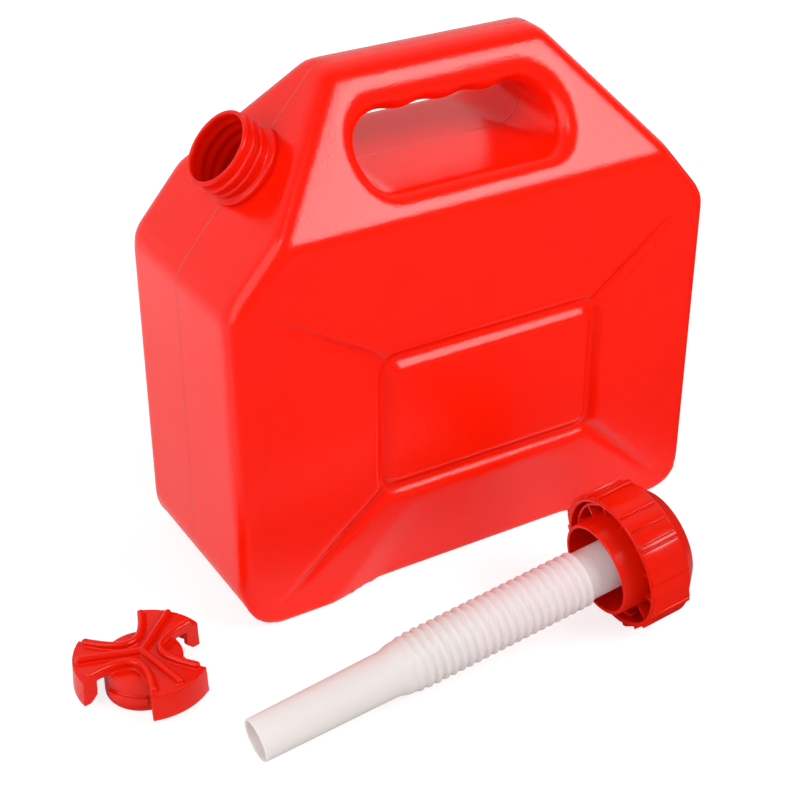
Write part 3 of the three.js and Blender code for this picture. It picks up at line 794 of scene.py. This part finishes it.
def bayLine(arm, inset=0, steps=18):  # the hollow edge between two arms
    a, d = around(plug["arm"], arm + plug["half"]), around(plug["arm"], arm + 120 - plug["half"])
    b = around(plug["pull"], arm + plug["pullTurn"])
    c = around(plug["pull"], arm + 120 - plug["pullTurn"])
    line = []
    for k in range(steps + 1):
        t = k / steps
        p = a * (1 - t) ** 3 + b * 3 * t * (1 - t) ** 2 + c * 3 * t * t * (1 - t) + d * t ** 3
        along = (b - a) * (1 - t) ** 2 + (c - b) * 2 * t * (1 - t) + (d - c) * t * t
        side = Vector((along.y, -along.x)).normalized()
        line.append(p - side * inset)
    return line


def stopperTop():
    outline = []
    for arm in plug["arms"]:
        outline += [around(plug["arm"], arm - plug["half"] + k * plug["half"] / 6) for k in range(13)]
        outline += bayLine(arm)[1:-1]
    clearPick()
    bpy.ops.mesh.primitive_circle_add(vertices=len(outline), radius=mm, fill_type="NGON")
    obj = bpy.context.object
    for vert, point in zip(obj.data.vertices, outline):
        vert.co = (point.x * mm, point.y * mm, plug["low"] * mm)
    editAll(obj)
    upward = (0, 0, (plug["high"] - plug["low"]) * mm)
    bpy.ops.mesh.extrude_region_move(TRANSFORM_OT_translate={"value": upward})
    bpy.ops.mesh.select_all(action="SELECT")
    bpy.ops.mesh.normals_make_consistent(inside=False)
    leaveEdit()
    return obj


def stopperSkirt():  # hangs from one arm, its ends turned in, a little wider at the hem
    hem, top, arm, half = plug["hem"], plug["high"] - 0.4, plug["arm"], plug["half"]
    parts = [arcBlock("skirt", (arm - plug["skirt"], arm), (hem, top), -half, 2 * half)]
    for start in (-half, half - plug["returnSpan"]):
        wing = arcBlock("wing", (arm - plug["return"], arm), (hem, top - 1), start, plug["returnSpan"])
        inward = around(1, start + plug["returnSpan"] / 2)
        corner = inward * (arm - plug["return"])
        sliceOff(wing, (corner.x, corner.y, hem + plug["returnCut"]), (-inward.x, -inward.y, -1))
        parts.append(wing)
    obj = joinAll("skirt", parts)
    for vert in obj.data.vertices:
        grow = 1 + plug["flare"] / plug["arm"] * (top - vert.co.z / mm) / (top - hem)
        vert.co = (vert.co.x * grow, vert.co.y * grow, vert.co.z)
    return obj


def stopperCap():
    rib, top, cup = plug["ribRadius"], plug["high"] + plug["ribRise"], plug["cup"]
    bore, roof, ceiling = cup - plug["cupWall"], plug["low"] + 0.6, plug["low"] - 1.6
    parts = [stopperTop(), turnProfile("cup", softCorners([
        (bore, 0), (cup, 0), (cup, roof), (0.2, roof), (0.2, ceiling), (bore, ceiling)], 0.5), 72)]
    parts += allRound(stopperSkirt(), len(plug["arms"]))
    for arm, reach in zip(plug["arms"], plug["spine"]):
        end = around(reach, arm)
        parts.append(ribAlong("spine", [(0, 0, top), (end.x, end.y, top)], rib))
        border = bayLine(arm, rib - 0.2)[1:-1]
        parts.append(ribAlong("border", [(p.x, p.y, top) for p in border], rib))
        lug = arcBlock("lug", (cup - 1, cup + plug["lugOut"]), plug["lugHeights"],
                       arm + plug["lugStart"], plug["lugSpan"])
        soften(lug, 0.5)
        parts.append(lug)
    obj = joinAll("stopperCap", parts)
    useModifier(obj, "REMESH", mode="VOXEL", voxel_size=plug["grid"] * mm)
    useModifier(obj, "SMOOTH", factor=0.5, iterations=plug["softness"])
    useModifier(obj, "DECIMATE", ratio=plug["keep"])
    place = Matrix.Translation((plug["place"][0] * mm, plug["place"][1] * mm, 0))
    return settle(obj, 1.2, place @ Matrix.Rotation(math.radians(plug["turn"]), 4, "Z"))


# each piece: its object, the body it rides on, its finish if new, its slot and the node it replaces

pieces = {
    "canBody": (canBody(), "can", canPlastic("canPlastic"), "can_plastic", "can_body"),
    "neckTube": (neckTube(), "can", canPlastic("neckPlastic", through=0.22), "can_plastic", None),
    "neckThread": (neckThread(), "can", None, "can_plastic", None),
    "spoutBase": (spoutBase(), "spout", milkyPlastic(), "spout_plastic", "spout_base"),
    "spoutBellows": (spoutBellows(), None, None, "spout_plastic", "spout_bellows"),
    "spoutNozzle": (spoutNozzle(), "nozzle", None, "spout_plastic", "spout_nozzle"),
    "ringSeal": (ringSeal(), "spout", sealRubber(), "seal_rubber", "ring_seal"),
    "ringCap": (ringCap(), "ring", capPlastic(), "cap_plastic", "ring_cap"),
    "stopperCap": (stopperCap(), "stopper", None, "cap_plastic", "stopper"),
}
finishes = {}
for obj, body, finish, slot, node in pieces.values():
    finishes[slot] = finish or finishes[slot]
    obj.data.materials.clear()
    obj.data.materials.append(finishes[slot])
    if node:
        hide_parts(node)
    if body:
        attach(obj, body)
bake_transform(pieces["spoutBellows"][0], "spout", "nozzle",
         start=spoutPoint(spout["bellowsLow"]), end=spoutPoint(spout["bellowsHigh"]))
print("pieces dressed:", ", ".join(pieces))


# studio: a white floor in a white room, soft lamps at the front right, left, top and, weakly, behind

studio = {"camera": (-0.39295, -0.64083, 0.51937), "azimuth": -30.64, "elevation": 31.27, "lens": 77.44,
          "ambient": 0.42, "wallY": (-0.1, 0.5), "wallGlow": (0.05, 0.78)}
floor = {"size": 6, "white": (0.9, 0.9, 0.9, 1), "dark": (0.02, 0.02, 0.02, 1), "pale": (0.82, 0.82, 0.82, 1),
         "paleY": (-0.16, -0.08), "darkX": (0.1, 0.17), "glow": 1.2,
         "fade": (0.3, 1.4), "nearShare": 0.66, "farShare": 0.34}
lamps = {
    "frontBox": {"place": (0.77, -1.1, 1.24), "target": (0, 0, 0.2), "size": (0.92, 0.6), "power": 19.5},
    "leftBox": {"place": (-1.3, -0.25, 0.75), "target": (0, 0, 0.12), "size": (1.15, 1.35), "power": 11.5},
    "edgeBox": {"place": (-0.7, -0.45, 1.35), "target": (0, 0, 0.2), "size": (0.35, 0.35), "power": 2},
    "backBox": {"place": (-0.2, 1.5, 0.45), "target": (0, 0, 0.12), "size": (1.2, 0.8), "power": 4,
                "mirrored": False},
}


def studioFloor():  # in mirrored light it is dark in front of the can and to its right
    clearPick()
    bpy.ops.mesh.primitive_plane_add(size=floor["size"])
    obj = bpy.context.object
    obj.name = "studioFloor"
    s = Sheet("floorWhite")
    ray = s.add("ShaderNodeLightPath").socket.node
    seen, mirrored = Wire(s, ray.outputs["Is Camera Ray"]), Wire(s, ray.outputs["Is Glossy Ray"])
    x, y = s.parts(s.place())[:2]
    behind = y.ease(*floor["paleY"]) * (1 - x.ease(*floor["darkX"]))
    shade = s.blendColour(behind, floor["dark"], floor["pale"])
    lit = s.add("ShaderNodeBsdfDiffuse", {"Color": s.blendColour(mirrored, floor["white"], shade)})
    white = s.add("ShaderNodeEmission", {"Color": (1, 1, 1, 1), "Strength": floor["glow"]})
    far = (x * x + y * y).ease(*floor["fade"])
    share = seen * (floor["nearShare"] + far * floor["farShare"])
    both = s.add("ShaderNodeMixShader", {0: share, 1: lit, 2: white})
    s.add("ShaderNodeOutputMaterial", {0: both})
    obj.data.materials.append(s.material)


def studioLight(name, place, target, size, power, mirrored=True):
    clearPick()
    bpy.ops.object.light_add(type="AREA", location=place)
    lamp = bpy.context.object
    lamp.name = name
    lamp.data.shape = "RECTANGLE"
    lamp.data.size, lamp.data.size_y = size
    lamp.data.energy = power
    aim = Vector(target) - Vector(place)
    lamp.rotation_euler = aim.to_track_quat("-Z", "Y").to_euler()
    lamp.visible_glossy = mirrored


def studioWorld():  # plain white light; in mirrored light a dark room in front and a pale wall behind
    world = bpy.data.worlds.new("studioWorld")
    bpy.context.scene.world = world
    world.use_nodes = True
    tree = world.node_tree

    def glow(strength):
        made = tree.nodes.new("ShaderNodeBackground")
        made.inputs["Color"].default_value = (1, 1, 1, 1)
        made.inputs["Strength"].default_value = strength
        return made

    def either(test, a, b):
        made = tree.nodes.new("ShaderNodeMixShader")
        tree.links.new(path.outputs[test], made.inputs[0])
        tree.links.new(a.outputs[0], made.inputs[1])
        tree.links.new(b.outputs[0], made.inputs[2])
        return made

    path = tree.nodes.new("ShaderNodeLightPath")
    place = tree.nodes.new("ShaderNodeTexCoord")
    split = tree.nodes.new("ShaderNodeSeparateXYZ")
    tree.links.new(place.outputs["Generated"], split.inputs[0])
    wall = tree.nodes.new("ShaderNodeMapRange")
    wall.interpolation_type = "SMOOTHSTEP"
    wall.inputs["From Min"].default_value, wall.inputs["From Max"].default_value = studio["wallY"]
    wall.inputs["To Min"].default_value, wall.inputs["To Max"].default_value = studio["wallGlow"]
    tree.links.new(split.outputs["Y"], wall.inputs["Value"])
    mirrored = glow(0)
    tree.links.new(wall.outputs[0], mirrored.inputs["Strength"])
    room = either("Is Glossy Ray", glow(studio["ambient"]), mirrored)
    whole = either("Is Camera Ray", room, glow(1))
    tree.links.new(whole.outputs[0], tree.nodes["World Output"].inputs["Surface"])


def studioCamera():
    clearPick()
    bpy.ops.object.camera_add(location=studio["camera"], rotation=(
        math.radians(90 - studio["elevation"]), 0, math.radians(studio["azimuth"])))
    cam = bpy.context.object
    cam.data.sensor_width = 36
    cam.data.lens = studio["lens"]
    cam.data.clip_end = 20
    bpy.context.scene.camera = cam


studioFloor()
studioWorld()
studioCamera()
for name, lamp in lamps.items():
    studioLight(name, **lamp)
bpy.context.scene.view_settings.view_transform = "Standard"

print("scene ready")
